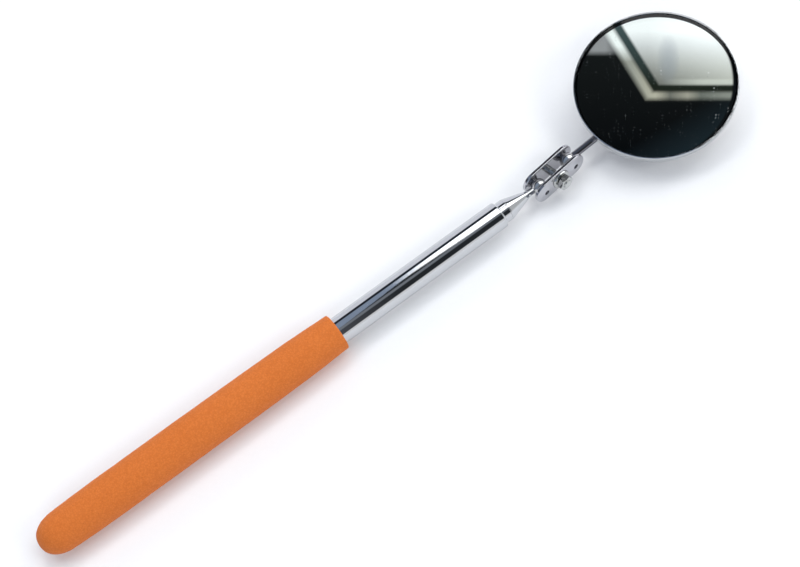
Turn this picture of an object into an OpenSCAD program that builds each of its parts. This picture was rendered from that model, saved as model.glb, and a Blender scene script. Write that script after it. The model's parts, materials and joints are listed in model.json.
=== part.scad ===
// Telescoping inspection mirror: cushion grip, two-stage tube, double-ball clamp and round mirror.
// Millimetres. +X runs along the tube from the butt of the grip to the mirror, +Z is up.
// The origin is on the tube's axis, in the middle of the grip's widest straight stretch.

/* [Grip] */

// Length of the cushion grip, closed butt to open mouth
grip_len = 118; // [105:1:130]
// Largest diameter of the grip
grip_d = 14.7; // [13.6:0.1:15.4]
// Diameter of the grip at its mouth
grip_mouth_d = 13.2; // [12.2:0.1:13.4]
// Distance from the butt to the start of the widest straight stretch
grip_flat_start = 24; // [18:1:30]
// Length of the widest straight stretch
grip_flat_len = 42; // [30:1:44]

/* [Outer tube] */

// Outer diameter of the outer tube
outer_d = 9.8; // [9.4:0.1:10.2]
// Wall of the outer tube
outer_wall = 0.5; // [0.4:0.05:0.55]
// Length of the outer tube that shows past the grip
outer_show = 69; // [55:1:80]
// Clear opening of the rolled-in mouth
mouth_d = 8.12; // [8.1:0.02:8.16]

/* [Inner tube] */

// Outer diameter of the inner tube
inner_d = 8; // [7.9:0.05:8]
// Wall of the inner tube
inner_wall = 0.4; // [0.3:0.05:0.5]
// Length of the inner tube that shows past the outer tube when closed
inner_show = 2.5; // [1.5:0.1:6]
// Telescoping travel
travel = 125; // [90:1:130]

/* [Tip] */

// Length of the tip cone from its shoulder to its thin end
cone_len = 9.4; // [7:0.1:12]
// Diameter of the ball stud's neck
neck_d = 2.4; // [2:0.1:2.4]
// Distance from the outer tube's mouth to the first ball's centre
ball_out = 17; // [16.5:0.1:20]
// Diameter of both balls
ball_d = 5.6; // [5.4:0.1:5.8]

/* [Clamp] */

// Distance between the two balls
ball_gap = 14.2; // [13:0.1:16]
// Height of the clamp plates
plate_w = 8.4; // [7.6:0.1:9]
// Thickness of the clamp plates
plate_t = 1.4; // [1.2:0.1:1.6]
// Clear gap between the clamp plates
plate_gap = 4.6; // [4.4:0.1:4.8]
// Diameter of the clamp screw
screw_d = 2.8; // [2.5:0.1:3]
// Width across flats of the clamp nut
nut_af = 5; // [4.6:0.1:5.5]
// Thickness of the clamp nut
nut_t = 2; // [1.6:0.1:2.4]

/* [Mirror] */

// Outer diameter of the mirror's shell
mirror_d = 57; // [45:0.2:60]
// Depth of the mirror's shell
shell_depth = 3.2; // [3.2:0.1:4]
// Thickness of the mirror glass
glass_t = 2; // [1.6:0.1:2]
// Diameter of the mirror's stem
stem_d = 2.5; // [2.2:0.1:2.5]
// Distance from the second ball to the mirror's centre
stem_reach = 40; // [38:0.5:50]

/* [Rest pose] */

// Nod of the clamp at the first ball, sideways out of line with the tube
nod_1 = 6.8; // [-11:0.1:11]
// Swing of the clamp at the first ball, up from the tube's line
swing_1 = 0; // [-30:0.5:30]
// Swing of the mirror's stem at the second ball, up from the clamp's line
swing_2 = 5.6; // [-30:0.1:30]
// Nod of the mirror's stem at the second ball
nod_2 = 6.8; // [-11.5:0.1:11.5]
// Turn of the mirror about its own stem
mirror_roll = 8; // [-180:1:180]

/* [Hidden] */

$fn = 72;
e = 0.01;
run = 0.05;                       // radial running clearance of a sliding or turning fit
x_butt = -(grip_flat_start + grip_flat_len / 2);
x_mouth = x_butt + grip_len;      // open mouth of the grip
x_end = x_mouth + outer_show;     // rolled-in mouth of the outer tube
x_tube0 = x_butt + 5.5;           // butt end of the outer tube
x_show = x_end + inner_show;      // front end of the inner tube
x_ball = x_end + ball_out;        // first ball
x_stop = x_end - 1 - travel;      // front face of the stop on the inner tube
r_out = outer_d / 2;
r_bore = outer_d / 2 - outer_wall;
r_in = inner_d / 2;
r_inb = inner_d / 2 - inner_wall;
r_ball = ball_d / 2;
r_sock = ball_d / 2 + 0.04;
half_gap = plate_gap / 2;
plate_l = ball_gap + plate_w;
r_screw = screw_d / 2;
r_stem = stem_d / 2;
z_back = r_stem + 0.45;           // underside of the shell above the stem's axis
z_front = z_back + shell_depth;
shell_t = 0.45;
r_glass = mirror_d / 2 - shell_t - 0.07;
stem_end = stem_reach - 5;        // how far the stem runs under the shell
bracket_l = 13;
bracket_x = stem_end - 2.6 - bracket_l;
y_nut = half_gap + plate_t + 1.05;

CHROME = [0.82, 0.83, 0.85];
STEEL = [0.62, 0.63, 0.64];
BRONZE = [0.72, 0.52, 0.28];
ORANGE = [0.86, 0.48, 0.22];

// ---------- frames ----------
module at_ball_1() {
    translate([x_ball, 0, 0]) rotate([0, 0, nod_1]) rotate([0, -swing_1, 0]) children();
}

module at_ball_2() {
    at_ball_1() translate([ball_gap, 0, 0]) rotate([0, -swing_2, 0])
        rotate([0, 0, -nod_2]) children();
}

module at_mirror() {
    at_ball_2() rotate([mirror_roll, 0, 0]) translate([stem_reach, 0, 0]) children();
}

// turns a profile of [x, r] points about the X axis
module lathe(p) {
    rotate([0, 90, 0]) rotate([0, 0, 90]) rotate_extrude()
        polygon([for (q = p) [q[1], q[0]]]);
}

// ---------- grip ----------
dome = 9;
module grip_sleeve() {
    r1 = grip_d / 2 - 0.45;
    r2 = grip_d / 2;
    rm = grip_mouth_d / 2;
    xf = x_butt + grip_flat_start;
    xg = xf + grip_flat_len;
    color(ORANGE) lathe(concat(
        [[x_tube0 - 1.65, 0], [x_butt, 0]],
        [for (a = [12:12:90]) [x_butt + dome * (1 - cos(a)), r1 * pow(sin(a), 0.86)]],
        [[x_butt + 15, r2 - 0.16], [xf, r2], [xg, r2]],
        [[x_mouth - 14, (r2 + rm) / 2 + 0.2], [x_mouth - 5, rm + 0.15]],
        [[x_mouth - 0.7, rm], [x_mouth - 0.2, rm - 0.2], [x_mouth, rm - 0.6]],
        [[x_mouth, r_out + 0.02], [x_tube0 - 1.65, r_out + 0.02]]));
}

// ---------- outer tube ----------
module tube_end_plug() {
    xs = x_stop - 12.5;
    rp = r_bore - 0.02;
    color(STEEL) lathe([[x_tube0 - 1.6, 0], [x_tube0 - 1.6, r_out - 0.4], [x_tube0 - 1.2, r_out],
        [x_tube0 - 0.02, r_out], [x_tube0 - 0.02, rp], [xs - 0.5, rp], [xs, rp - 0.5],
        [xs, 1.6], [xs - 6, 1.6], [xs - 6, 0]]);
}

module outer_tube() {
    rl = mouth_d / 2;
    roll = r_out - rl;
    color(CHROME) rotate([0, 90, 0]) rotate([0, 0, 90]) rotate_extrude() {
        translate([r_bore, x_tube0]) square([outer_wall, x_end - roll - x_tube0]);
        intersection() {
            translate([rl, x_end - roll]) circle(r = roll);
            translate([rl, x_end - roll]) square([2 * roll, 2 * roll]);
        }
    }
}

// ---------- inner tube ----------
module inner_tube() {
    color(CHROME) translate([x_stop + 0.1, 0, 0]) rotate([0, 90, 0]) difference() {
        cylinder(h = x_show - x_stop - 0.1, r = r_in);
        translate([0, 0, -1]) cylinder(h = x_show - x_stop + 2, r = r_inb);
    }
}

// spigot in the tube, a stop flange, a groove for the springs and a rear flange
module rear_bush() {
    rf = r_bore - run;
    color(BRONZE) lathe([[x_stop + 8, 0], [x_stop + 8, r_inb - 0.4], [x_stop + 7.6, r_inb - 0.04],
        [x_stop, r_inb - 0.04], [x_stop, rf], [x_stop - 1.6, rf], [x_stop - 1.6, rf - 0.9],
        [x_stop - 10.4, rf - 0.9], [x_stop - 10.4, rf], [x_stop - 11.6, rf],
        [x_stop - 12, rf - 0.4], [x_stop - 12, 0]]);
}

module friction_shell() {
    ro = r_bore - 0.03;
    rotate([0, 90, 0]) rotate([0, 0, 95]) rotate_extrude(angle = 170)
        polygon([[ro - 0.8, -8.6], [ro - 0.36, -8.6], [ro, -6.6], [ro, -2.2], [ro - 0.36, -0.2],
            [ro - 0.8, -0.2], [ro - 0.42, -2.2], [ro - 0.42, -6.6]]);
}

module friction_spring_upper() {
    color(BRONZE) translate([x_stop - 1.6, 0, 0]) friction_shell();
}

module friction_spring_lower() {
    color(BRONZE) translate([x_stop - 1.6, 0, 0]) rotate([180, 0, 0]) friction_shell();
}

// ---------- tip ----------
module tip_cone() {
    rn = neck_d / 2 + 0.02;
    color(CHROME) lathe([[x_show - 8, rn], [x_show - 8, r_inb - 0.4], [x_show - 7.6, r_inb - 0.02],
        [x_show + 0.02, r_inb - 0.02], [x_show + 0.02, r_in - 0.12], [x_show + 0.14, r_in],
        [x_show + 0.5, r_in - 0.03], [x_show + 1, r_in - 0.16],
        [x_show + cone_len - 1.2, rn + 0.5], [x_show + cone_len, rn + 0.1],
        [x_show + cone_len, rn]]);
}

module ball_stud() {
    color(CHROME) difference() {
        translate([x_show - 6.5, 0, 0]) rotate([0, 90, 0])
            cylinder(h = x_ball - x_show + 6.5, r = neck_d / 2);
        translate([x_ball, 0, 0]) sphere(r = r_ball + 0.02);
    }
}

module handle_ball() {
    color(STEEL) at_ball_1() sphere(r = r_ball);
}

// ---------- clamp ----------
// half of a plate's section: w wide from the middle, edges rounded with radius c
module plate_half(w, t, c) {
    square([w - c, t]);
    translate([0, c]) square([w, t - 2 * c]);
    for (y = [c, t - c]) translate([w - c, y]) circle(r = c);
}

// a stadium plate with rounded edges and a low dome over each ball, from z = 0 to plate_t
module plate_blank() {
    w = plate_w / 2;
    t = plate_t;
    c = 0.36;
    rd = 10.8;
    rotate([90, 0, 90]) linear_extrude(ball_gap) union() {
        plate_half(w, t, c);
        mirror([1, 0]) plate_half(w, t, c);
    }
    for (x = [0, ball_gap]) translate([x, 0, 0]) {
        rotate_extrude() intersection() {
            plate_half(w, t, c);
            square([w + 1, t]);
        }
        intersection() {
            translate([0, 0, t + 0.38 - rd]) sphere(r = rd);
            translate([0, 0, 0.5]) cylinder(h = t, r = 3.1);
        }
    }
}

module plate_pockets() {
    for (x = [0, ball_gap]) translate([x, 0, -half_gap]) sphere(r = r_sock);
    for (x = [0, ball_gap]) translate([x, 0, -1]) cylinder(h = 5, r = 0.95);
}

module clamp_plate_far() {
    color(CHROME) at_ball_1() translate([0, half_gap, 0]) rotate([-90, 0, 0]) difference() {
        plate_blank();
        plate_pockets();
        translate([ball_gap / 2, 0, -1]) cylinder(h = 5, r = r_screw + run);
        translate([ball_gap / 2, 0, plate_t - 1.12]) cylinder(h = 1.2, r1 = r_screw + run,
            r2 = r_screw + run + 1.2);
    }
}

module clamp_plate_near() {
    color(CHROME) at_ball_1() translate([0, -half_gap, 0]) rotate([90, 0, 0]) difference() {
        plate_blank();
        plate_pockets();
        translate([ball_gap / 2, 0, -1]) cylinder(h = 5, r = r_screw + run);
    }
}

// drawn with its axis on Y; the head is on the far side, the thread end on the near side
module clamp_screw() {
    yh = half_gap + plate_t;
    yt = y_nut + nut_t + 0.6;
    color(STEEL) at_ball_1() translate([ball_gap / 2, 0, 0]) rotate([-90, 0, 0]) difference() {
        union() {
            translate([0, 0, -yt + 0.3]) cylinder(h = yt + yh - 0.5, r = r_screw);
            translate([0, 0, -yt]) cylinder(h = 0.3, r1 = r_screw - 0.3, r2 = r_screw);
            translate([0, 0, yh - 1.07]) cylinder(h = 1.1, r1 = r_screw, r2 = r_screw + 1.1);
            translate([0, 0, yh + 0.03]) cylinder(h = 0.22, r1 = r_screw + 1.1, r2 = r_screw + 0.5);
        }
        translate([-4, -0.35, yh - 0.5]) cube([8, 0.7, 2]);
    }
}

module spring_washer() {
    y0 = half_gap + plate_t + 0.02;
    color(STEEL) at_ball_1() translate([ball_gap / 2, -y0, 0]) rotate([90, 0, 0]) rotate_extrude()
        polygon([[3.55, 0], [3.6, 0.12], [3.45, 0.5], [1.6, 1], [r_screw + run, 1],
            [r_screw + run, 0.5], [1.6, 0.5], [3.3, 0]]);
}

module clamp_nut() {
    ra = nut_af / 2;
    rc = nut_af / sqrt(3);
    color(STEEL) at_ball_1() translate([ball_gap / 2, -y_nut, 0]) rotate([90, 0, 0]) difference() {
        intersection() {
            cylinder(h = nut_t, r = rc, $fn = 6);
            rotate_extrude() polygon([[0, 0], [ra - 0.05, 0], [rc + 0.02, 0.32],
                [rc + 0.02, nut_t - 0.32], [ra - 0.05, nut_t], [0, nut_t]]);
        }
        translate([0, 0, -1]) cylinder(h = nut_t + 2, r = r_screw + 0.04);
        translate([0, 0, nut_t - 0.25]) cylinder(h = 0.3, r1 = r_screw + 0.04, r2 = r_screw + 0.34);
    }
}

// ---------- stem ----------
module mirror_ball() {
    color(STEEL) at_ball_2() sphere(r = r_ball);
}

module mirror_stem() {
    color(CHROME) at_ball_2() difference() {
        rotate([0, 90, 0]) cylinder(h = stem_end, r = r_stem);
        sphere(r = r_ball + 0.02);
    }
}

// push-on ring that keeps the stem in its bracket
module stem_retainer() {
    color(STEEL) at_ball_2() translate([stem_end - 2, 0, 0]) rotate([0, 90, 0]) difference() {
        cylinder(h = 0.8, r = r_stem + 0.33);
        translate([0, 0, -1]) cylinder(h = 3, r = r_stem + 0.01);
    }
}

// ---------- mirror ----------
rivet_x = [bracket_x - stem_reach + 3, bracket_x - stem_reach + bracket_l - 3];
rivet_y = 4.3;

module at_rivets() {
    for (x = rivet_x) for (y = [-rivet_y, rivet_y]) translate([x, y, 0]) children();
}

// folded strap: a tunnel for the stem between two flat wings
module stem_bracket() {
    rb = r_stem + run;
    rw = r_stem + run + 0.8;
    color(CHROME) at_mirror() difference() {
        translate([bracket_x - stem_reach, 0, 0]) rotate([90, 0, 90]) linear_extrude(bracket_l)
            difference() {
                union() {
                    circle(r = rw);
                    translate([-rw, 0]) square([2 * rw, z_back - 0.01]);
                    translate([-6.2, z_back - 0.81]) square([12.4, 0.8]);
                }
                circle(r = rb);
                translate([-rb, 0]) square([2 * rb, 5]);
            }
        at_rivets() translate([0, 0, z_back - 2]) cylinder(h = 3, r = 0.77);
    }
}

module bracket_rivets() {
    color(STEEL) at_mirror() at_rivets() rotate_extrude()
        polygon([[0, z_back - 1.42], [0.6, z_back - 1.36], [1.15, z_back - 1.12],
            [1.3, z_back - 0.83], [0.75, z_back - 0.83], [0.75, z_back + 0.47],
            [1.2, z_back + 0.47], [1.2, z_back + 0.62], [0, z_back + 0.7]]);
}

// half section of the shell: flat back, round corner, wall and a turned-in lip
module shell_half() {
    r = mirror_d / 2;
    ri = r - shell_t;
    zi = z_back + shell_t;
    rc = 1.2;
    rl = 0.34;
    difference() {
        union() {
            translate([0, z_back]) square([r - rc, shell_depth]);
            translate([0, z_back + rc]) square([r, shell_depth - rc - rl]);
            translate([r - rc, z_back + rc]) circle(r = rc);
            translate([0, z_back + rc]) square([r - rl, shell_depth - rc]);
            translate([r - rl, z_front - rl]) circle(r = rl);
        }
        translate([0, zi]) square([ri - 0.75, shell_depth]);
        translate([0, zi + 0.75]) square([ri, z_front - 0.38 - zi - 0.75]);
        translate([ri - 0.75, zi + 0.75]) circle(r = 0.75);
        translate([0, z_front - 1]) square([r - 0.68, 2]);
    }
}

module mirror_shell() {
    color(CHROME) at_mirror() difference() {
        rotate_extrude() shell_half();
        at_rivets() translate([0, 0, z_back - 1]) cylinder(h = 3, r = 0.77);
    }
}

module glass_cushion() {
    z0 = z_back + shell_t + 0.02;
    color([0.16, 0.16, 0.17]) at_mirror() difference() {
        translate([0, 0, z0]) cylinder(h = z_front - 0.42 - glass_t - z0, r = r_glass - 0.6);
        at_rivets() translate([0, 0, z0 - 1]) cylinder(h = 3, r = 1.4);
    }
}

module mirror_glass() {
    z1 = z_front - 0.4;
    color([0.75, 0.8, 0.84]) at_mirror() rotate_extrude()
        polygon([[0, z1 - glass_t], [r_glass - 0.3, z1 - glass_t], [r_glass, z1 - glass_t + 0.3],
            [r_glass, z1 - 0.12], [r_glass - 0.12, z1], [0, z1]]);
}

grip_sleeve();
tube_end_plug();
outer_tube();
inner_tube();
rear_bush();
friction_spring_upper();
friction_spring_lower();
tip_cone();
ball_stud();
handle_ball();
clamp_plate_far();
clamp_plate_near();
clamp_screw();
spring_washer();
clamp_nut();
mirror_ball();
mirror_stem();
stem_retainer();
stem_bracket();
bracket_rivets();
mirror_shell();
glass_cushion();
mirror_glass();
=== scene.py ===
import json
import math

import bpy
import bmesh
from mathutils import Matrix, Vector, noise


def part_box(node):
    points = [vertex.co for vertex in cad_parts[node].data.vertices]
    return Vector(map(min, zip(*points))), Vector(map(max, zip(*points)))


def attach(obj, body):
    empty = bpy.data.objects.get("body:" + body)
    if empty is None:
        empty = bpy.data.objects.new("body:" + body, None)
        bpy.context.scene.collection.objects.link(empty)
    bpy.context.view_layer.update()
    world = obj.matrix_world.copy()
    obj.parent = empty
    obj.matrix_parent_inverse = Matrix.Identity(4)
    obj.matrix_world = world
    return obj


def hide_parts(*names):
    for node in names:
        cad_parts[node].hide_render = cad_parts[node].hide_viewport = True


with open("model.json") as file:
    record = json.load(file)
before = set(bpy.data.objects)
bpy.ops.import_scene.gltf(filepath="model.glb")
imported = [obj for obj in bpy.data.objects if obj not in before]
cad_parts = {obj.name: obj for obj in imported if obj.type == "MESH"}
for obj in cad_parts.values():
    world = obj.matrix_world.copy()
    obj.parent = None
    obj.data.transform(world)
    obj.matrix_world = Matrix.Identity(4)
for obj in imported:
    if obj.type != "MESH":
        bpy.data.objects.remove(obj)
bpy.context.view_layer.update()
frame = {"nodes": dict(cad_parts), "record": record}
nodes = frame["nodes"]
scene = bpy.context.scene
MM = 0.001


# ---------------------------------------------------------------- node helpers
class Tree:
    """A node tree and a few shorthands. co is the texture coordinate that its nodes read."""

    def __init__(self, tree, output, coordinates):
        self.t = tree
        self.t.nodes.clear()
        self.out = self.t.nodes.new(output)
        self.co = self.t.nodes.new("ShaderNodeTexCoord").outputs[coordinates]

    def link(self, a, b):
        self.t.links.new(a, b)

    def mapping(self, scale, rot=(0, 0, 0)):
        n = self.t.nodes.new("ShaderNodeMapping")
        n.inputs["Scale"].default_value = scale
        n.inputs["Rotation"].default_value = rot
        self.link(self.co, n.inputs["Vector"])
        return n.outputs[0]

    def noise(self, scale, detail, rough, vec=None):
        n = self.t.nodes.new("ShaderNodeTexNoise")
        n.inputs["Scale"].default_value = scale
        n.inputs["Detail"].default_value = detail
        n.inputs["Roughness"].default_value = rough
        self.link(vec if vec is not None else self.co, n.inputs["Vector"])
        return n.outputs["Fac"]

    def voronoi(self, scale, vec=None):
        """Distance to the nearest cell point."""
        n = self.t.nodes.new("ShaderNodeTexVoronoi")
        n.inputs["Scale"].default_value = scale
        self.link(vec if vec is not None else self.co, n.inputs["Vector"])
        return n.outputs["Distance"]

    def ramp(self, fac, stops):
        """Colour ramp through (place, colour) stops."""
        n = self.t.nodes.new("ShaderNodeValToRGB")
        r = n.color_ramp
        while len(r.elements) < len(stops):
            r.elements.new(0.5)
        for el, (p, c) in zip(r.elements, stops):
            el.position = p
            el.color = c if len(c) == 4 else (*c, 1.0)
        self.link(fac, n.inputs[0])
        return n.outputs[0]

    def mrange(self, v, a, b, c, d):
        """v from the range a..b to the range c..d, clamped."""
        n = self.t.nodes.new("ShaderNodeMapRange")
        for i, x in zip((1, 2, 3, 4), (a, b, c, d)):
            n.inputs[i].default_value = x
        self.link(v, n.inputs[0])
        return n.outputs[0]

    def math(self, op, a, b=None):
        n = self.t.nodes.new("ShaderNodeMath")
        n.operation = op
        for i, x in enumerate((a, b)):
            if x is None:
                continue
            if isinstance(x, (int, float)):
                n.inputs[i].default_value = x
            else:
                self.link(x, n.inputs[i])
        return n.outputs[0]

    def mix(self, fac, a, b, blend="MIX"):
        n = self.t.nodes.new("ShaderNodeMix")
        n.data_type = "RGBA"
        n.blend_type = blend
        for s, x in ((n.inputs[0], fac), (n.inputs[6], a), (n.inputs[7], b)):
            if isinstance(x, (int, float)):
                s.default_value = x
            elif isinstance(x, tuple):
                s.default_value = x if len(x) == 4 else (*x, 1.0)
            else:
                self.link(x, s)
        return n.outputs[2]

    def bump(self, height, strength, distance, prev=None):
        n = self.t.nodes.new("ShaderNodeBump")
        n.inputs["Strength"].default_value = strength
        n.inputs["Distance"].default_value = distance
        self.link(height, n.inputs["Height"])
        if prev is not None:
            self.link(prev, n.inputs["Normal"])
        return n.outputs[0]


class Mat(Tree):
    """A material with a Principled shader."""

    def __init__(self, name):
        self.m = bpy.data.materials.new(name)
        self.m.use_nodes = True
        super().__init__(self.m.node_tree, "ShaderNodeOutputMaterial", "Object")
        self.b = self.t.nodes.new("ShaderNodeBsdfPrincipled")
        self.t.links.new(self.b.outputs[0], self.out.inputs[0])

    def set(self, **kw):
        """Constants on the shader's own sockets, with _ for a space in a socket's name."""
        for k, v in kw.items():
            self.b.inputs[k.replace("_", " ")].default_value = v
        return self

    def color(self, sock):
        self.link(sock, self.b.inputs["Base Color"])

    def rough(self, sock):
        self.link(sock, self.b.inputs["Roughness"])

    def normal(self, sock):
        self.link(sock, self.b.inputs["Normal"])


def chrome(name, base=(0.60, 0.61, 0.63), low=0.02, high=0.06, streak=(40, 900, 900), wave=0.00002):
    """Bright plating: fine drawing lines, faint orange peel and a little haze."""
    m = Mat(name).set(Metallic=1.0)
    lines = m.noise(1.0, 4, 0.6, m.mapping(streak))
    haze = m.noise(120, 3, 0.6)
    peel = m.noise(420, 2, 0.5)
    m.color(m.mix(m.mrange(haze, 0.35, 0.7, 0, 1), tuple(c * 0.95 for c in base), base))
    r1 = m.mrange(lines, 0.3, 0.75, low, high)
    r2 = m.mrange(haze, 0.45, 0.75, 0.0, 0.03)
    m.rough(m.math("ADD", r1, r2))
    n = m.bump(peel, 0.25, wave)
    m.normal(m.bump(lines, 0.12, 0.000004, n))
    return m.m


def steel(name, base=(0.56, 0.57, 0.56), low=0.08, high=0.22, scale=1400):
    """Satin plated steel: tumbled finish, shallow dents and slight mottling."""
    m = Mat(name).set(Metallic=1.0)
    f = m.noise(scale, 4, 0.65)
    g = m.noise(260, 3, 0.6)
    dark = tuple(c * 0.72 for c in base)
    light = tuple(min(1, c * 1.12) for c in base)
    m.color(m.ramp(g, [(0.3, dark), (0.62, base), (0.8, light)]))
    m.rough(m.mrange(f, 0.3, 0.7, low, high))
    n = m.bump(g, 0.2, 0.00006)
    m.normal(m.bump(f, 0.25, 0.000012, n))
    return m.m


def cushion():
    """Foam vinyl: fine pebbled skin, faint mottling and a few pale grains, with painted shade in the small
    pits and in the hollows between the pebbles.
    """
    m = Mat("cushion_orange").set(Metallic=0.0, Specular_IOR_Level=0.22)
    big = m.noise(45, 3, 0.5)
    mid = m.noise(700, 4, 0.6)
    fine = m.noise(2600, 3, 0.65)
    peb = m.voronoi(1500)
    base = m.ramp(big, [(0.30, (0.628, 0.168, 0.031)), (0.70, (0.660, 0.182, 0.036))])
    base = m.mix(m.mrange(mid, 0.35, 0.68, 0.0, 0.30), base, (0.565, 0.139, 0.0235))
    base = m.mix(m.mrange(fine, 0.60, 0.78, 0.0, 0.45), base, (0.765, 0.266, 0.085))
    # painted shade: much darker where the fine relief is lowest, in its small pits
    base = m.mix(m.mrange(fine, 0.40, 0.24, 0.0, 0.75), base, (0.32, 0.066, 0.012))
    # painted shade: darker in the hollows between the pebbles, where their bump is low
    base = m.mix(m.mrange(peb, 0.30, 0.62, 0.0, 0.25), base, (0.415, 0.0895, 0.016))
    m.color(base)
    m.rough(m.mrange(mid, 0.3, 0.7, 0.66, 0.84))
    n = m.bump(m.mrange(peb, 0.0, 0.7, 1.0, 0.0), 0.5, 0.00008)
    n = m.bump(mid, 0.45, 0.00012, n)
    m.normal(m.bump(fine, 0.5, 0.00004, n))
    return m.m


def bronze():
    """Spring bronze, slightly mottled."""
    m = Mat("bronze").set(Metallic=1.0)
    f = m.noise(700, 4, 0.6)
    m.color(m.ramp(f, [(0.3, (0.42, 0.24, 0.10)), (0.6, (0.62, 0.39, 0.17)), (0.8, (0.70, 0.47, 0.23))]))
    m.rough(m.mrange(f, 0.3, 0.7, 0.25, 0.45))
    m.normal(m.bump(f, 0.2, 0.00002))
    return m.m


def plain(name, a, b, scale, low, high, depth):
    """A dull material between colours a and b, with roughness from low to high and a bump of depth."""
    m = Mat(name).set(Metallic=0.0)
    f = m.noise(scale, 4, 0.6)
    m.color(m.mix(f, a, b))
    m.rough(m.mrange(f, 0.3, 0.7, low, high))
    m.normal(m.bump(f, 0.4, depth))
    return m.m


CHROME = chrome("chrome_tube")
CHROME_IN = chrome("chrome_inner", low=0.03, high=0.07)
CHROME_PLATE = chrome("chrome_plate", base=(0.54, 0.54, 0.57), low=0.05, high=0.16,
                      streak=(300, 300, 900), wave=0.00025)
# painted shade: the stem's chrome is far darker than the rest, for where it runs under the mirror's head
CHROME_STEM_SHADED = chrome("chrome_stem_shaded", base=(0.20, 0.20, 0.22), low=0.03, high=0.08, streak=(300, 300, 900))
CHROME_SHELL = chrome("chrome_shell", base=(0.58, 0.59, 0.60), low=0.02, high=0.06, streak=(500, 500, 500))
STEEL = steel("plated_steel")
BALL = steel("ball_steel", base=(0.60, 0.60, 0.60), low=0.03, high=0.10, scale=900)
ORANGE = cushion()
BRONZE = bronze()
PLUG = plain("plug_plastic", (0.05, 0.05, 0.05), (0.10, 0.10, 0.10), 800, 0.4, 0.6, 0.00003)
FELT = plain("pad_felt", (0.015, 0.015, 0.017), (0.05, 0.05, 0.055), 1500, 0.85, 0.95, 0.0001)

look = {
    "outer_tube": CHROME,
    "inner_tube": CHROME_IN,
    "tip_cone": CHROME_IN,
    "ball_stud": CHROME_IN,
    "handle_ball": BALL,
    "mirror_ball": BALL,
    "clamp_plate_far": CHROME_PLATE,
    "clamp_plate_near": CHROME_PLATE,
    "clamp_screw": STEEL,
    "spring_washer": STEEL,
    "clamp_nut": STEEL,
    "mirror_stem": CHROME_STEM_SHADED,
    "stem_retainer": STEEL,
    "stem_bracket": CHROME_PLATE,
    "bracket_rivets": STEEL,
    "mirror_shell": CHROME_SHELL,
    "glass_cushion": FELT,
    "tube_end_plug": PLUG,
    "rear_bush": BRONZE,
    "friction_spring_upper": BRONZE,
    "friction_spring_lower": BRONZE,
}
for name, mat in look.items():
    ob = nodes[name]
    if not ob.material_slots:
        ob.data.materials.append(mat)
    for s in ob.material_slots:
        s.material = mat


# ---------------------------------------------------------------- mesh helpers
def new_object(name, bm, mats, smooth=True):
    """An object in the scene from a bmesh, which is freed."""
    me = bpy.data.meshes.new(name)
    bm.normal_update()
    bm.to_mesh(me)
    bm.free()
    ob = bpy.data.objects.new(name, me)
    scene.collection.objects.link(ob)
    for m in mats:
        me.materials.append(m)
    for p in me.polygons:
        p.use_smooth = smooth
    return ob


def lathe_mesh(profile, seg, fn=None):
    """A profile of (along, radius) in metres, turned round the X axis. fn may change each radius."""
    bm = bmesh.new()
    rings = []
    for x, r in profile:
        if r <= 1e-7:
            rings.append([bm.verts.new((x, 0, 0))])
            continue
        ring = []
        for k in range(seg):
            a = 2 * math.pi * k / seg
            rr = r if fn is None else fn(x, r, a)
            ring.append(bm.verts.new((x, rr * math.cos(a), rr * math.sin(a))))
        rings.append(ring)
    for a, b in zip(rings, rings[1:]):
        if len(a) == 1 and len(b) == 1:
            continue
        for k in range(seg):
            k2 = (k + 1) % seg
            if len(a) == 1:
                bm.faces.new((a[0], b[k2], b[k]))
            elif len(b) == 1:
                bm.faces.new((a[k], a[k2], b[0]))
            else:
                bm.faces.new((a[k], a[k2], b[k2], b[k]))
    return bm


def slopes(points):
    """Slope at each (x, y) point of a curve that doesn't overshoot its points."""
    steps = [(y1 - y0) / (x1 - x0) for (x0, y0), (x1, y1) in zip(points, points[1:])]
    inner = [0.0 if a * b <= 0 else 2 * a * b / (a + b) for a, b in zip(steps, steps[1:])]
    return [steps[0]] + inner + [steps[-1]]


def spline(points, step):
    """Samples of a smooth curve through (x, y) points, about every step."""
    out = []
    m = slopes(points)
    for i, ((x0, y0), (x1, y1)) in enumerate(zip(points, points[1:])):
        h = x1 - x0
        k = max(1, int(round(h / step)))
        for j in range(k):
            t = j / k
            y = ((2 * t ** 3 - 3 * t ** 2 + 1) * y0 + (t ** 3 - 2 * t ** 2 + t) * h * m[i]
                 + (-2 * t ** 3 + 3 * t ** 2) * y1 + (t ** 3 - t ** 2) * h * m[i + 1])
            out.append((x0 + t * h, y))
    out.append(points[-1])
    return out


# ---------------------------------------------------------------- cushion grip
lo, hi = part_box("grip_sleeve")
tlo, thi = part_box("outer_tube")
x0, x1 = lo[0], hi[0]
# millimetres, counted from the butt
length = (x1 - x0) / MM
r_tube = (thi[2] - tlo[2]) / 2 / MM
dome_long = 9.0         # length of the rounded butt
dome_r = 6.95           # radius where the butt ends
dome_power = 0.84       # under 1 makes the butt blunter than an ellipse
mouth_r = 6.6
mouth_round = 0.45
bore_gap = 0.04         # between the tube and the sleeve
bore_deep = 12.0        # how far the open bore is modelled from the mouth


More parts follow.
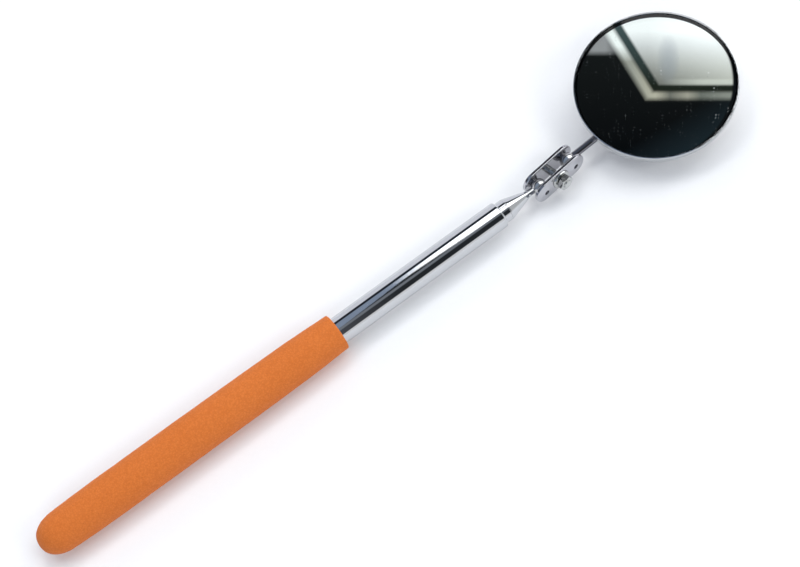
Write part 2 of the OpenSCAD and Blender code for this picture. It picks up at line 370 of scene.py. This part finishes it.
def grip_profile():
    """Outline of the sleeve in (along, radius) millimetres, from the butt round the mouth into the bore."""
    prof = [(0.0, 0.0)]
    for k in range(1, 15):
        a = math.radians(90 * k / 15)
        prof.append((dome_long * (1 - math.cos(a)), dome_r * math.sin(a) ** dome_power))
    rim = length - mouth_round
    body = [(dome_long, dome_r), (12, 7.08), (16, 7.18), (24, 7.3), (33, 7.34), (58, 7.34), (76, 7.3),
            (92, 7.22), (102, 7.1), (109, 6.9), (114, 6.7), (rim, mouth_r)]
    prof += spline(body, 0.55)
    for k in range(1, 7):
        a = math.radians(90 * k / 6)
        prof.append((rim + mouth_round * math.sin(a), mouth_r - mouth_round + mouth_round * math.cos(a)))
    prof += [(length - 0.02, 5.4), (length - 0.1, r_tube + 0.2), (length - 0.35, r_tube + 0.05)]
    prof += [(length - 3, r_tube + bore_gap), (length - bore_deep, r_tube + bore_gap)]
    prof += [(length - bore_deep - 0.1, 0.0)]
    return prof


def uneven(x, r, a):
    """The radius with slight waves and pebbling, except inside the bore's mouth."""
    if r < 5.6 * MM and x > (x1 - 3 * MM):
        return r
    p = Vector((x, r * math.cos(a), r * math.sin(a)))
    d = 0.050 * noise.noise(p * 160) + 0.020 * noise.noise(p * 620) + 0.03 * noise.noise(p * 1500)
    return r + d * MM * min(1.0, r / (4 * MM))


def grip():
    """The moulded cushion sleeve."""
    bm = lathe_mesh([(x0 + x * MM, r * MM) for x, r in grip_profile()], 144, fn=uneven)
    return new_object("cushion_grip", bm, [ORANGE])


g = grip()
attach(g, "handle")
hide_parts("grip_sleeve")


# ---------------------------------------------------------------- head frame
# The balls, the screw and the stem come from the joints, and the mirror's frame from the CAD glass.
joints = {j["name"]: j for j in frame["record"]["behaviour"]["joints"]}


def unit(v):
    return Vector(v).normalized()


stem_dir = unit(joints["stem_turn"]["axis"])
ball_2 = Vector(joints["second_ball_swing"]["pos_m"])
ball_1 = Vector(joints["first_ball_swing"]["pos_m"])
screw_dir = unit(joints["first_ball_swing"]["axis"])


def plane_normal(ob):
    """Unit normal of the direction with the most face area, turned to point up."""
    best = {}
    for p in ob.data.polygons:
        key = tuple(round(c, 2) for c in p.normal)
        area, n = best.get(key, (0.0, Vector()))
        best[key] = (area + p.area, n + p.normal * p.area)
    n = max(best.values(), key=lambda v: v[0])[1]
    n.normalize()
    return n if n.z > 0 else -n


glass = nodes["mirror_glass"]
n_head = plane_normal(glass)
verts = [v.co for v in glass.data.vertices]
d_top = max(v.dot(n_head) for v in verts)
d_bot = min(v.dot(n_head) for v in verts)
x_head = (stem_dir - n_head * stem_dir.dot(n_head)).normalized()
y_head = n_head.cross(x_head).normalized()


def span(axis):
    """Lowest and highest point of the glass along an axis."""
    along = [v.dot(axis) for v in verts]
    return min(along), max(along)


def middle(axis):
    low, high = span(axis)
    return (high + low) / 2


top_c = x_head * middle(x_head) + y_head * middle(y_head) + n_head * d_top
r_glass = (span(y_head)[1] - span(y_head)[0]) / 2
t_glass = d_top - d_bot
HEAD = Matrix((x_head, y_head, n_head)).transposed().to_4x4()
HEAD.translation = top_c


def place(ob, matrix):
    """Move the mesh itself, so the object stays at the frame's origin."""
    ob.data.transform(matrix)
    ob.data.update()


# ---------------------------------------------------------------- mirror glass
def glass_front():
    """Clear float glass with scattered dust and lint, thicker in patches."""
    m = Mat("glass_front").set(Metallic=0.0, IOR=1.52)
    spread = m.mrange(m.noise(38, 2, 0.5), 0.40, 0.66, 0.35, 1.0)
    near = m.voronoi(900)
    wide = m.voronoi(260, vec=m.mapping((1.0, 2.2, 1.0), (0, 0, 0.7)))
    dust = m.mrange(near, 0.10, 0.045, 0.0, 1.0)
    lint = m.mrange(wide, 0.075, 0.035, 0.0, 1.0)
    speck = m.math("MAXIMUM", dust, lint)
    keep = m.mrange(m.noise(310, 1, 0.5), 0.46, 0.52, 0.0, 1.0)
    speck = m.math("MULTIPLY", m.math("MULTIPLY", speck, keep), m.math("MULTIPLY", spread, 0.55))
    m.color(m.mix(speck, (0.93, 0.97, 0.96), (0.75, 0.77, 0.78)))
    m.rough(m.math("MULTIPLY", speck, 0.8))
    m.link(m.math("SUBTRACT", 1.0, speck), m.b.inputs["Transmission Weight"])
    return m.m


def silver():
    """Back silvering seen through the glass: slightly soft, with tiny pits and faint haze."""
    m = Mat("silvering").set(Metallic=1.0)
    haze = m.noise(140, 4, 0.6)
    speck = m.voronoi(420)
    spot = m.mrange(speck, 0.0, 0.035, 1.0, 0.0)
    m.color(m.mix(spot, m.mix(haze, (0.86, 0.89, 0.89), (0.90, 0.93, 0.93)), (0.55, 0.57, 0.58)))
    m.rough(m.math("ADD", m.mrange(haze, 0.45, 0.75, 0.0, 0.012), m.math("MULTIPLY", spot, 0.3)))
    return m.m


def edge_paint_and_shade():
    """Matt black on the glass's edge and round its back: in part edge paint, in part painted shade for the
    dark crescent at the mirror's rim.
    """
    m = Mat("edge_paint_and_shade").set(Metallic=0.0, Specular_IOR_Level=0.0)
    f = m.noise(900, 3, 0.6)
    # near black: edge paint, and painted shade for the dark crescent seen through the glass at the rim
    m.color(m.mix(f, (0.004, 0.005, 0.006), (0.012, 0.013, 0.015)))
    m.rough(m.mrange(f, 0.3, 0.7, 0.5, 0.8))
    return m.m


def glass_profile(r, t):
    """(radius, height, slot of the face that follows): clear front, black edge and back ring (edge paint and
    painted shade for the dark crescent), silvered back.
    """
    front, paint_and_shade, back = 0, 1, 2
    return [(0.0, 0.0, front), (r * 0.5, 0.0, front), (r - 0.0003, 0.0, front), (r - 0.00012, 0.0, front),
            (r - 0.00004, -0.00004, front), (r, -0.00012, paint_and_shade), (r, -t + 0.0003, paint_and_shade),
            (r - 0.00016, -t + 0.00016, paint_and_shade), (r - 0.0003, -t, paint_and_shade), (r - 0.0009, -t, back),
            (r * 0.5, -t, back), (0.0, -t, back)]


def build_glass():
    """The second-surface mirror: light goes in at the front and is reflected at the silvered back."""
    seg = 192
    prof = glass_profile(r_glass, t_glass)
    bm = bmesh.new()
    rings = []
    for radius, z, slot in prof:
        if radius < 1e-9:
            rings.append([bm.verts.new((0, 0, z))])
            continue
        turns = [2 * math.pi * k / seg for k in range(seg)]
        rings.append([bm.verts.new((radius * math.cos(a), radius * math.sin(a), z)) for a in turns])
    for (radius, z, slot), a, b in zip(prof, rings, rings[1:]):
        for k in range(seg):
            k2 = (k + 1) % seg
            if len(a) == 1:
                f = bm.faces.new((a[0], b[k], b[k2]))
            elif len(b) == 1:
                f = bm.faces.new((a[k2], a[k], b[0]))
            else:
                f = bm.faces.new((a[k2], a[k], b[k], b[k2]))
            f.material_index = slot
    ob = new_object("mirror_plate", bm, [glass_front(), edge_paint_and_shade(), silver()], smooth=False)
    place(ob, HEAD)
    return ob


plate = build_glass()
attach(plate, "head")
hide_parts("mirror_glass")


# ---------------------------------------------------------------- clamp screw with thread
mid_p = (ball_1 + ball_2) / 2
e1 = (ball_2 - ball_1).normalized()
e2 = screw_dir.cross(e1).normalized()
# places along the screw, in metres from the clamp's middle
screw_along = [(v.co - mid_p).dot(screw_dir) for v in nodes["clamp_screw"].data.vertices]
t_head, t_tip = min(screw_along), max(screw_along)
head_high = 0.00138
shank_start = t_head + 0.0010
shank_r = 0.0014
thread_start = 0.0022
thread_run_in = 0.0004
thread_pitch = 0.0005
thread_depth = 0.00027
tip_bevel = 0.0003


def screw_radius(t, a):
    """Radius at t along the screw and at angle a: plain shank, then the thread, then a bevelled tip."""
    r = shank_r
    if t > thread_start:
        phase = ((t - thread_start) / thread_pitch - a / (2 * math.pi)) % 1.0
        saw = abs(phase - 0.5) * 2
        r -= thread_depth * min(1.0, (t - thread_start) / thread_run_in) * min(1.0, saw * 1.15)
    if t > t_tip - tip_bevel:
        r -= (t - (t_tip - tip_bevel)) * 0.9
    return r


def clamp_screw():
    """Shank and rolled thread, from inside the head to the tip: one grid whose radius follows the helix."""
    seg = 40
    steps = 230
    bm = bmesh.new()
    rings = []
    for i in range(steps + 1):
        t = shank_start + (t_tip - shank_start) * i / steps
        ring = []
        for k in range(seg):
            a = 2 * math.pi * k / seg
            r = screw_radius(t, a)
            across = e1 * (r * math.cos(a)) + e2 * (r * math.sin(a))
            ring.append(bm.verts.new(mid_p + screw_dir * t + across))
        rings.append(ring)
    for a, b in zip(rings, rings[1:]):
        for k in range(seg):
            k2 = (k + 1) % seg
            bm.faces.new((a[k], a[k2], b[k2], b[k]))
    bm.faces.new(rings[-1])
    bm.faces.new(list(reversed(rings[0])))
    return new_object("clamp_screw_thread", bm, [STEEL])


def cut(ob, cutter):
    """ob minus cutter, applied to ob's mesh; the cutter is thrown away."""
    mod = ob.modifiers.new("cut", "BOOLEAN")
    mod.operation = "DIFFERENCE"
    mod.solver = "EXACT"
    mod.object = cutter
    dg = bpy.context.evaluated_depsgraph_get()
    me = bpy.data.meshes.new_from_object(ob.evaluated_get(dg))
    ob.modifiers.clear()
    ob.data = me
    bpy.data.objects.remove(cutter)


def sharp(ob, deg):
    """Smooth faces with sharp edges above an angle."""
    me = ob.data
    bm = bmesh.new()
    bm.from_mesh(me)
    for e in bm.edges:
        e.smooth = not (len(e.link_faces) == 2 and e.calc_face_angle(0) > math.radians(deg))
    for f in bm.faces:
        f.smooth = True
    bm.to_mesh(me)
    bm.free()


screw = clamp_screw()
sharp(screw, 50)
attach(screw, "clamp")


def screw_head():
    """Countersunk head with a raised crown and a screwdriver slot."""
    prof = [(0.0, 0.0), (0.0, shank_r), (0.0010, 0.00236), (0.00108, 0.00245), (0.00116, 0.0025),
            (0.00122, 0.00248), (0.00130, 0.0021), (0.00136, 0.0013), (head_high, 0.0)]
    ob = new_object("clamp_screw_head", lathe_mesh(prof, 64), [STEEL])
    slot_size = Matrix.Diagonal((0.0012, 0.0007, 0.008, 1))
    bm = bmesh.new()
    bmesh.ops.create_cube(bm, size=1.0, matrix=Matrix.Translation((head_high, 0, 0)) @ slot_size)
    cut(ob, new_object("slot_cutter", bm, [STEEL]))
    outward = -screw_dir
    rot = Matrix((outward, e2, outward.cross(e2))).transposed().to_4x4()
    rot = rot @ Matrix.Rotation(math.radians(24), 4, "X")
    rot.translation = mid_p + screw_dir * (t_head + head_high)
    place(ob, rot)
    sharp(ob, 30)
    return ob


head = screw_head()
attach(head, "clamp")
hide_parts("clamp_screw")

# ---------------------------------------------------------------- stage
floor_z = -0.00737      # just under the cushion grip, which the tool rests on
floor_half = 1.6


def sheet(name, corners, mat):
    """One flat staged face."""
    bm = bmesh.new()
    bm.faces.new([bm.verts.new(c) for c in corners])
    ob = new_object(name, bm, [mat], smooth=False)
    return ob


def paper():
    """Matt white card."""
    m = Mat("paper_sweep").set(Metallic=0.0, Specular_IOR_Level=0.2)
    f = m.noise(900, 4, 0.6)
    m.color(m.mix(f, (0.86, 0.86, 0.86), (0.89, 0.89, 0.89)))
    m.rough(m.mrange(f, 0.3, 0.7, 0.75, 0.9))
    m.normal(m.bump(f, 0.1, 0.00002))
    return m.m


around = ((-1, -1), (1, -1), (1, 1), (-1, 1))
sheet("floor", [(a * floor_half, b * floor_half, floor_z) for a, b in around], paper())

# ---------------------------------------------------------------- camera
# its lens, turn and place come from a fit of the tool's outlines to the photo's
cam_data = bpy.data.cameras.new("camera")
cam = bpy.data.objects.new("camera", cam_data)
scene.collection.objects.link(cam)
scene.camera = cam
cam_data.sensor_fit = "HORIZONTAL"
cam_data.sensor_width = 36.0
cam_data.lens = 63.27
cam_data.clip_start = 0.01
cam_data.clip_end = 20.0
cam_right = Vector((0.7990, -0.5760, -0.1727)).normalized()
cam_up = Vector((0.5765, 0.6521, 0.4924))
cam_back = cam_right.cross(cam_up).normalized()
cam_up = cam_back.cross(cam_right).normalized()
eye = Vector((0.01855, -0.23325, 0.40524))
cam_matrix = Matrix((cam_right, cam_up, cam_back)).transposed().to_4x4()
cam_matrix.translation = eye
cam.matrix_world = cam_matrix

# ---------------------------------------------------------------- light
world = bpy.data.worlds.new("studio")
scene.world = world
world.use_nodes = True


def ambient():
    """Room light from all round, with the walls, window and dark ceiling that the chrome shows."""
    w = Tree(world.node_tree, "ShaderNodeOutputWorld", "Generated")
    bg = w.t.nodes.new("ShaderNodeBackground")
    w.link(bg.outputs[0], w.out.inputs[0])
    sep = w.t.nodes.new("ShaderNodeSeparateXYZ")
    w.link(w.co, sep.inputs[0])
    x, y, z = sep.outputs
    # angle round the X axis: 0 at the +Y horizon, 90 overhead, 180 at the -Y horizon
    ang = w.math("MULTIPLY", w.math("ARCTAN2", z, y), 180 / math.pi)
    # lean towards +X, as the tangent of its angle
    side = w.math("SQRT", w.math("ADD", w.math("MULTIPLY", y, y), w.math("MULTIPLY", z, z)))
    lean = w.math("DIVIDE", x, w.math("MAXIMUM", side, 0.05))

    def step(v, a, soft):
        """0 below a, 1 above it."""
        return w.mrange(v, a - soft, a + soft, 0.0, 1.0)

    def band(a, b, soft):
        """1 where the angle is from a to b."""
        return w.math("MULTIPLY", step(ang, a, soft), w.math("SUBTRACT", 1.0, step(ang, b, soft)))

    near = w.mrange(lean, 0.10, 0.17, 0.0, 1.0)
    ceiling = w.mix(near, (0.115, 0.120, 0.135), (0.028, 0.032, 0.036))
    # light wall at the back, then the dark edge over it
    col = w.mix(band(-200, 43, 1.5), ceiling, (0.945, 0.962, 1.035))
    col = w.mix(band(43, 62, 2), col, (0.030, 0.034, 0.045))
    # bluish light on the ceiling, which ends sooner towards +X
    shade = w.math("SUBTRACT", w.math("ADD", ang, w.math("MULTIPLY", lean, 300.0)), 144.0)
    blue = w.math("MULTIPLY", step(ang, 64, 2), w.mrange(shade, -3.0, 3.0, 1.0, 0.0))
    col = w.mix(blue, col, (0.31, 0.38, 0.50))
    col = w.mix(band(108, 126, 4), col, (0.24, 0.26, 0.29))
    # the window starts at a lean that grows past the zenith
    past = w.math("MAXIMUM", w.math("SUBTRACT", ang, 88.0), 0.0)
    sill = w.math("ADD", w.math("MULTIPLY", past, 0.0028), 0.188)
    open_side = w.mrange(w.math("SUBTRACT", lean, sill), -0.02, 0.02, 0.0, 1.0)
    col = w.mix(w.math("MULTIPLY", band(65, 110, 1.5), open_side), col, (2.6, 2.65, 2.7))
    # end wall towards +X, and the light wall on the camera's side
    wall = w.math("MULTIPLY", w.mrange(lean, 0.40, 0.60, 0.0, 1.0), step(ang, 112, 3))
    col = w.mix(wall, col, (0.62, 0.64, 0.65))
    col = w.mix(step(ang, 166, 2), col, (0.94, 0.94, 0.95))
    w.link(col, bg.inputs[0])
    bg.inputs[1].default_value = 1.0


# name, azimuth and elevation in degrees, and watts: a least-squares fit of the shadows, rounded
LAMPS = [
    ("front_right", 300, 40, 3.8),
    ("front_left", 240, 40, 2.6),
    ("back_right", 60, 40, 1.6),
    ("back_right_high", 60, 65, 1.7),
    ("back_left_high", 120, 65, 2.8),
]
lamp_size = 0.5
lamp_reach = 1.3
tool_middle = Vector((0.10, 0, 0))


def lamp(name, azimuth, elevation, power):
    """A square soft light that aims at the middle of the tool; chrome doesn't show it."""
    data = bpy.data.lights.new(name, "AREA")
    data.shape = "SQUARE"
    data.size = lamp_size
    data.energy = power
    ob = bpy.data.objects.new(name, data)
    scene.collection.objects.link(ob)
    a, e = math.radians(azimuth), math.radians(elevation)
    away = Vector((math.cos(a) * math.cos(e), math.sin(a) * math.cos(e), math.sin(e)))
    ob.location = tool_middle + away * lamp_reach
    ob.rotation_euler = (-away).to_track_quat("-Z", "Y").to_euler()
    ob.visible_glossy = False
    ob.visible_transmission = False


# ---------------------------------------------------------------- what the mirror shows
# A glowing card that only reflections see. It stands where the mirror sends this camera's line of
# sight, so it fills the mirror in this view alone. Its pattern is in units of the mirror's radius,
# with x to the right and y up in the camera's picture.
card_reach = 0.42
card_glow = 1.12
card_edge = 1.07
rail_x = (-0.3, 0.9)
RAIL_STOPS = [(0.0, (0.34, 0.34, 0.30)), (0.25, (0.48, 0.45, 0.36)), (0.40, (0.16, 0.16, 0.14)),
              (0.58, (0.36, 0.34, 0.28)), (0.72, (0.15, 0.16, 0.14)), (1.0, (0.26, 0.27, 0.24))]


def card_ceiling(m, x, y):
    """Nearly black, a little bluer low on the right, with a grey patch high on the left."""
    dark = m.mix(m.mrange(y, -0.8, 0.3, 0.0, 1.0), (0.0028, 0.0034, 0.0042), (0.0078, 0.0092, 0.0096))
    low = m.mrange(m.math("SUBTRACT", m.math("MULTIPLY", x, 0.6), y), 0.55, 1.1, 0.0, 1.0)
    dark = m.mix(low, dark, (0.012, 0.020, 0.026))
    patch = m.math("MULTIPLY", m.mrange(y, 0.37, 0.44, 0, 1), m.mrange(x, -0.40, -0.62, 0, 1))
    return m.mix(patch, dark, (0.30, 0.30, 0.31))


def card_pane(m, x, y):
    """Bright sky that fades downwards, with one faint bluish blot and a paler sill."""
    glow = m.math("ADD", m.math("POWER", m.mrange(y, 0.0, 0.68, 0.35, 1.0), 2.0),
                  m.mrange(x, -0.1, 0.9, 0.0, 0.34))
    tint = m.mix(m.mrange(y, 0.1, 0.5, 0, 1), (1.0, 1.0, 0.92), (0.99, 1.0, 1.01))
    pane = m.mix(1.0, glow, tint, "MULTIPLY")
    far = m.math("ADD", m.math("POWER", m.math("DIVIDE", m.math("SUBTRACT", x, 0.16), 0.11), 2.0),
                 m.math("POWER", m.math("DIVIDE", m.math("SUBTRACT", y, 0.33), 0.24), 2.0))
    pane = m.mix(m.mrange(far, 0.0, 1.8, 0.34, 0.0), pane, (0.22, 0.26, 0.34))
    sill = m.math("MULTIPLY", m.mrange(y, 0.095, 0.07, 0, 1), m.mrange(x, 0.1, 0.6, 0, 1))
    return m.mix(m.math("MULTIPLY", sill, 0.5), pane, (0.75, 0.76, 0.68))


def card_window(m, x, y):
    """The corner of a window: its pane, dark sash and lighter frame over the dark ceiling."""
    # the frame's leg leans to the left; the pane is to its right and above its foot
    leg = m.math("MULTIPLY", m.math("ADD", m.math("SUBTRACT", x, 0.049), m.math("MULTIPLY", y, 0.625)), 0.67)
    inside = m.math("MINIMUM", leg, m.math("SUBTRACT", y, 0.012))
    rail = m.ramp(m.mrange(x, *rail_x, 0.0, 1.0), RAIL_STOPS)
    rail = m.mix(m.mrange(y, 0.30, 0.50, 0, 1), rail, (0.94, 0.97, 0.96))
    sash = m.mix(m.mrange(y, 0.0, 0.7, 0, 1), (0.014, 0.018, 0.013), (0.055, 0.082, 0.085))
    col = m.mix(m.mrange(inside, -0.205, -0.145, 0, 1), card_ceiling(m, x, y), rail)
    col = m.mix(m.mrange(inside, -0.110, -0.066, 0, 1), col, sash)
    return m.mix(m.mrange(inside, -0.014, 0.014, 0, 1), col, card_pane(m, x, y))


def past_rim(m, x, y, n, right, up, back):
    """0 inside the mirror's outline and 1 at its rim and past it, where the card turns near black: painted
    shade that keeps the glass's black edge dark in the reflection.
    """
    tilt = m.math("ADD", m.math("MULTIPLY", x, n.dot(right) / n.dot(back)),
                  m.math("MULTIPLY", y, n.dot(up) / n.dot(back)))
    flat = m.math("ADD", m.math("MULTIPLY", x, x), m.math("MULTIPLY", y, y))
    rim = m.math("SQRT", m.math("ADD", flat, m.math("MULTIPLY", tilt, tilt)))
    return m.mrange(rim, 0.960, 0.985, 0, 1)


def window_card():
    """The card's shape, place and glow, from the camera's axes reflected in the mirror."""
    n = n_head
    c = HEAD.translation
    image = eye - n * (2 * (eye - c).dot(n))
    ray = (c - image).normalized()
    right, up = [(v - n * (2 * v.dot(n))).normalized() for v in (cam_right, cam_up)]
    back = right.cross(up).normalized()
    size = r_glass * (1 + card_reach / (c - image).length)
    m = Mat("window_card")
    m.t.nodes.remove(m.b)
    em = m.t.nodes.new("ShaderNodeEmission")
    m.link(em.outputs[0], m.out.inputs[0])
    sep = m.t.nodes.new("ShaderNodeSeparateXYZ")
    m.link(m.co, sep.inputs[0])
    x, y, z = sep.outputs
    # past the rim the card is near black: painted shade for the dark crescent
    col = m.mix(past_rim(m, x, y, n, right, up, back), card_window(m, x, y), (0.006, 0.007, 0.008))
    m.link(col, em.inputs[0])
    em.inputs[1].default_value = card_glow
    turns = [math.pi * k / 48 for k in range(96)]
    outline = [(x_head * math.cos(a) + y_head * math.sin(a)) * card_edge for a in turns]
    ob = sheet("window_card", [(u.dot(right), u.dot(up), 0) for u in outline], m.m)
    mat = Matrix((right, up, back)).transposed().to_4x4() @ Matrix.Scale(size, 4)
    mat.translation = c + ray * card_reach
    ob.matrix_world = mat
    ob.visible_camera = ob.visible_diffuse = ob.visible_shadow = False


ambient()
window_card()
for row in LAMPS:
    lamp(*row)

scene.view_settings.view_transform = "Standard"
scene.view_settings.look = "None"
scene.view_settings.exposure = 0.0
scene.view_settings.gamma = 1.0
